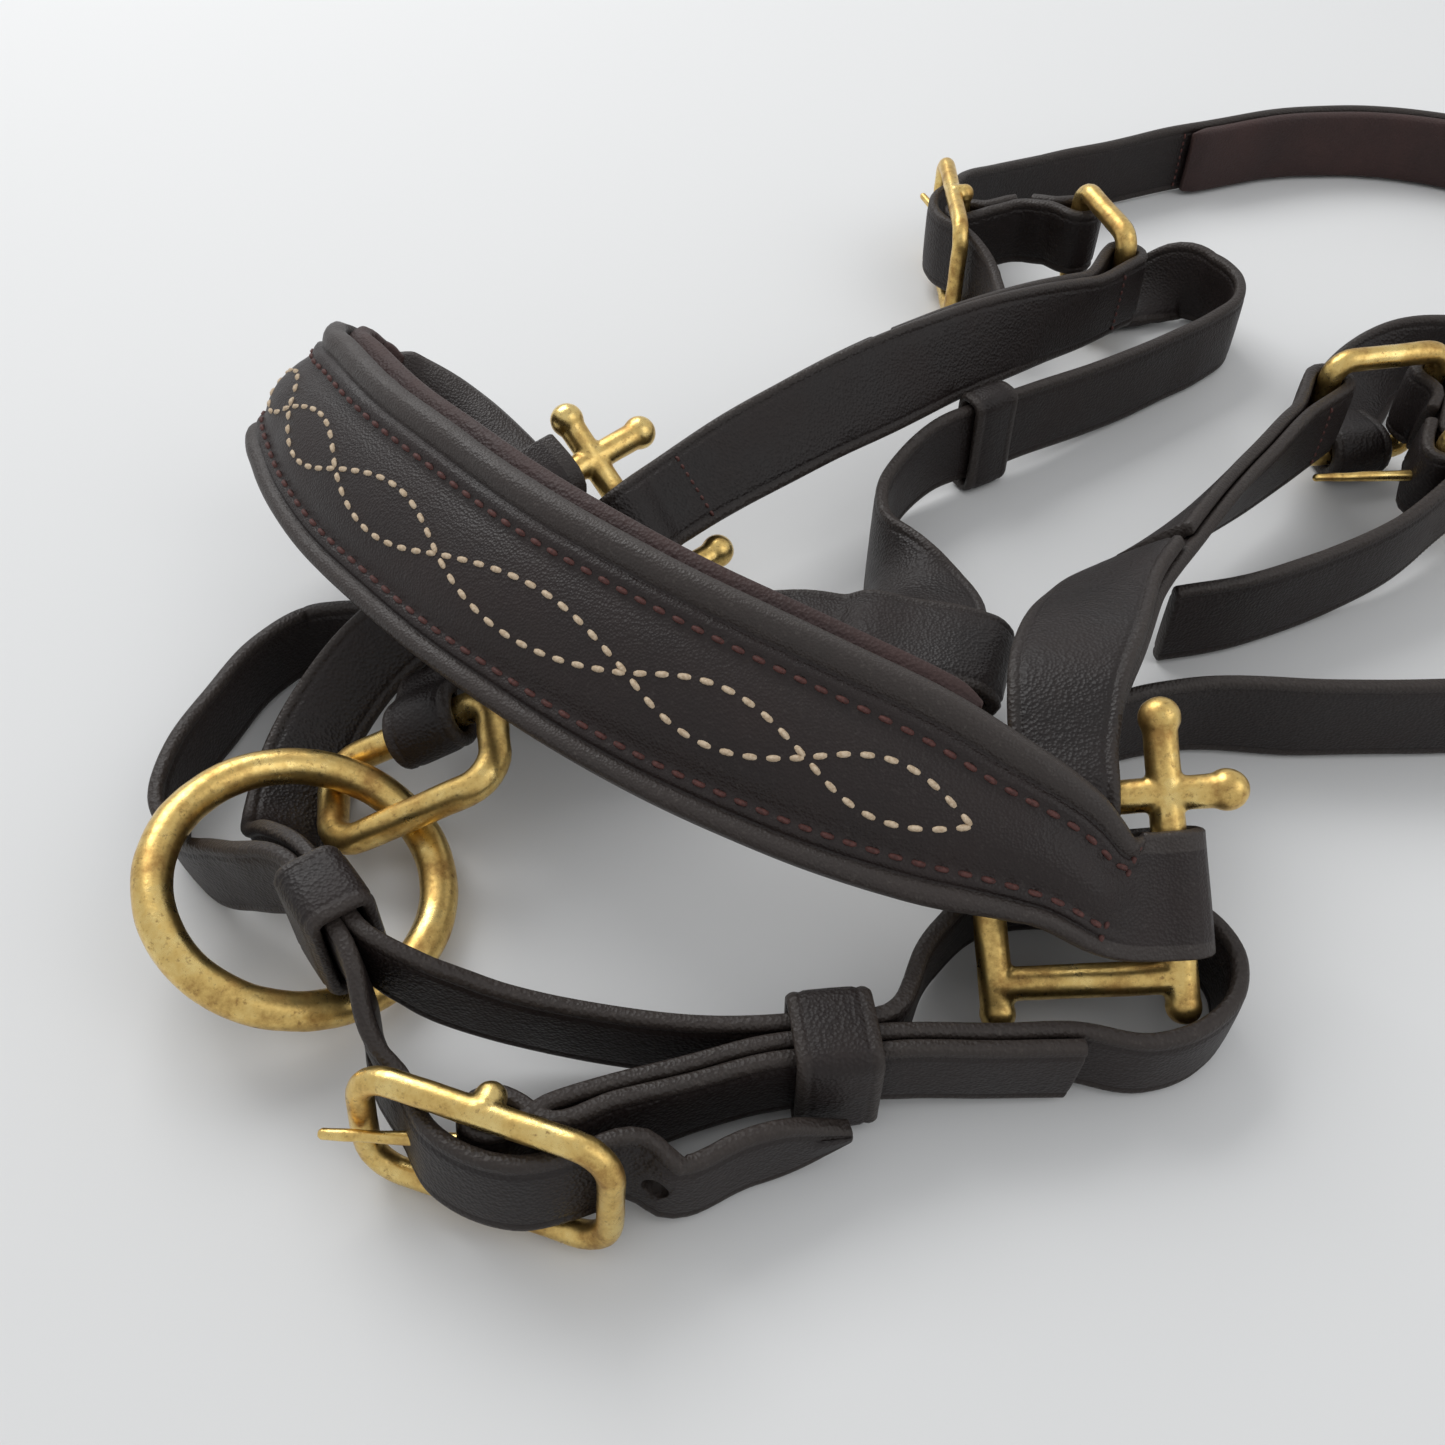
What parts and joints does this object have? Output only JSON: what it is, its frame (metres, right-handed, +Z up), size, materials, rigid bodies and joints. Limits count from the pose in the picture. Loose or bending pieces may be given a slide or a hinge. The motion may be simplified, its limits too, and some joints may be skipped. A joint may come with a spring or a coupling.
{
  "type": "leather headcollar",
  "caption": "Leather horse headcollar laid folded on a table: padded stitched noseband, cheek, chin, throat and crown straps with brass squares, rings and buckles.",
  "frame": {"origin": "middle of the footprint on the table, at the table top", "axes": "+Z up; +X to the wearer's-left end of the lay-out seen from the chin side, the longest side; +Y from the chin strap to the crown; +Z the shortest side"},
  "size_m": [0.3917, 0.3625, 0.0672],
  "materials": {
    "strap_leather": "oiled dark brown strap leather",
    "panel_leather": "smooth dark brown panel leather",
    "lining_leather": "soft brown lining leather",
    "padding": "felt padding, hidden",
    "brass": "aged solid brass"
  },
  "bodies": {
    "straps": {"noseband_base": "strap_leather", "chin_strap": "strap_leather", "jowl_strap": "strap_leather", "right_cheekpiece": "strap_leather", "left_cheekpiece": "strap_leather", "throatlatch": "strap_leather", "left_crown_chape": "strap_leather", "crown_strap": "strap_leather", "right_crown_chape": "strap_leather", "right_stop_square": "brass", "left_stop_square": "brass", "noseband_panel": "panel_leather", "noseband_lining": "lining_leather", "crown_lining": "lining_leather", "noseband_pad": "padding", "crown_pad": "padding"},
    "chin_ring": {"chin_ring": "brass"},
    "chin_link": {"chin_link": "brass"},
    "chin_buckle_frame": {"chin_buckle_frame": "brass"},
    "chin_buckle_tongue": {"chin_buckle_tongue": "brass"},
    "left_chin_keeper": {"left_chin_keeper": "strap_leather"},
    "right_chin_keeper": {"right_chin_keeper": "strap_leather"},
    "throatlatch_keeper": {"throatlatch_keeper": "strap_leather"},
    "left_upper_ring": {"left_upper_ring": "brass"},
    "right_upper_ring": {"right_upper_ring": "brass"},
    "left_crown_buckle_frame": {"left_crown_buckle_frame": "brass"},
    "left_crown_buckle_tongue": {"left_crown_buckle_tongue": "brass"},
    "right_crown_buckle_frame": {"right_crown_buckle_frame": "brass"},
    "right_crown_buckle_tongue": {"right_crown_buckle_tongue": "brass"}
  },
  "joints": [
    {"name": "chin_ring_spin", "type": "hinge", "parent": "straps", "child": "chin_ring", "pos_m": [-0.16324, -0.11773, 0.01337], "axis": [0.3458, -0.0841, 0.9345], "range_deg": [-180, 180]},
    {"name": "chin_link_swing", "type": "hinge", "parent": "straps", "child": "chin_link", "pos_m": [-0.14793, -0.08337, 0.01549], "axis": [0.8997, 0.15, 0.4099], "range_deg": [-2.8, 0.4]},
    {"name": "chin_buckle_frame_swing", "type": "hinge", "parent": "straps", "child": "chin_buckle_frame", "pos_m": [-0.1227, -0.16777, 0.01375], "axis": [0.064, 0.183, 0.981], "range_deg": [-1.2, 1.2]},
    {"name": "chin_buckle_tongue_swing", "type": "hinge", "parent": "chin_buckle_frame", "child": "chin_buckle_tongue", "pos_m": [-0.1227, -0.16777, 0.01375], "axis": [0.064, 0.183, 0.981], "range_deg": [0, 2.2]},
    {"name": "left_chin_keeper_slide", "type": "slide", "parent": "straps", "child": "left_chin_keeper", "axis": [0.6, -0.8, 0], "range_m": [-0.0015, 0.0012]},
    {"name": "right_chin_keeper_slide", "type": "slide", "parent": "straps", "child": "right_chin_keeper", "axis": [0.995, 0.1, 0], "range_m": [-0.0032, 0.0024]},
    {"name": "throatlatch_keeper_slide", "type": "slide", "parent": "straps", "child": "throatlatch_keeper", "axis": [0.866, 0.5, 0], "range_m": [-0.0032, 0.0032]},
    {"name": "left_upper_ring_swing", "type": "hinge", "parent": "straps", "child": "left_upper_ring", "pos_m": [0.0202, 0.07446, 0.02017], "axis": [0, 0, 1], "range_deg": [-0.4, 0.6]},
    {"name": "right_upper_ring_swing", "type": "hinge", "parent": "straps", "child": "right_upper_ring", "pos_m": [0.05771, 0.01692, 0.02017], "axis": [0, 0, 1], "range_deg": [-0.6, 0.4]},
    {"name": "left_crown_buckle_frame_swing", "type": "hinge", "parent": "straps", "child": "left_crown_buckle_frame", "pos_m": [-0.01854, 0.10727, 0.01597], "axis": [0, 0, 1], "range_deg": [-2.8, 1.6]},
    {"name": "left_crown_buckle_tongue_swing", "type": "hinge", "parent": "left_crown_buckle_frame", "child": "left_crown_buckle_tongue", "pos_m": [-0.01854, 0.10727, 0.01597], "axis": [0, 0, 1], "range_deg": [0, 4.8]},
    {"name": "right_crown_buckle_frame_swing", "type": "hinge", "parent": "straps", "child": "right_crown_buckle_frame", "pos_m": [0.08026, -0.00273, 0.01607], "axis": [0, 0, 1], "range_deg": [-4.8, 0.6]},
    {"name": "right_crown_buckle_tongue_swing", "type": "hinge", "parent": "right_crown_buckle_frame", "child": "right_crown_buckle_tongue", "pos_m": [0.08026, -0.00273, 0.01607], "axis": [0, 0, 1], "range_deg": [-7.5, 16]}
  ]
}
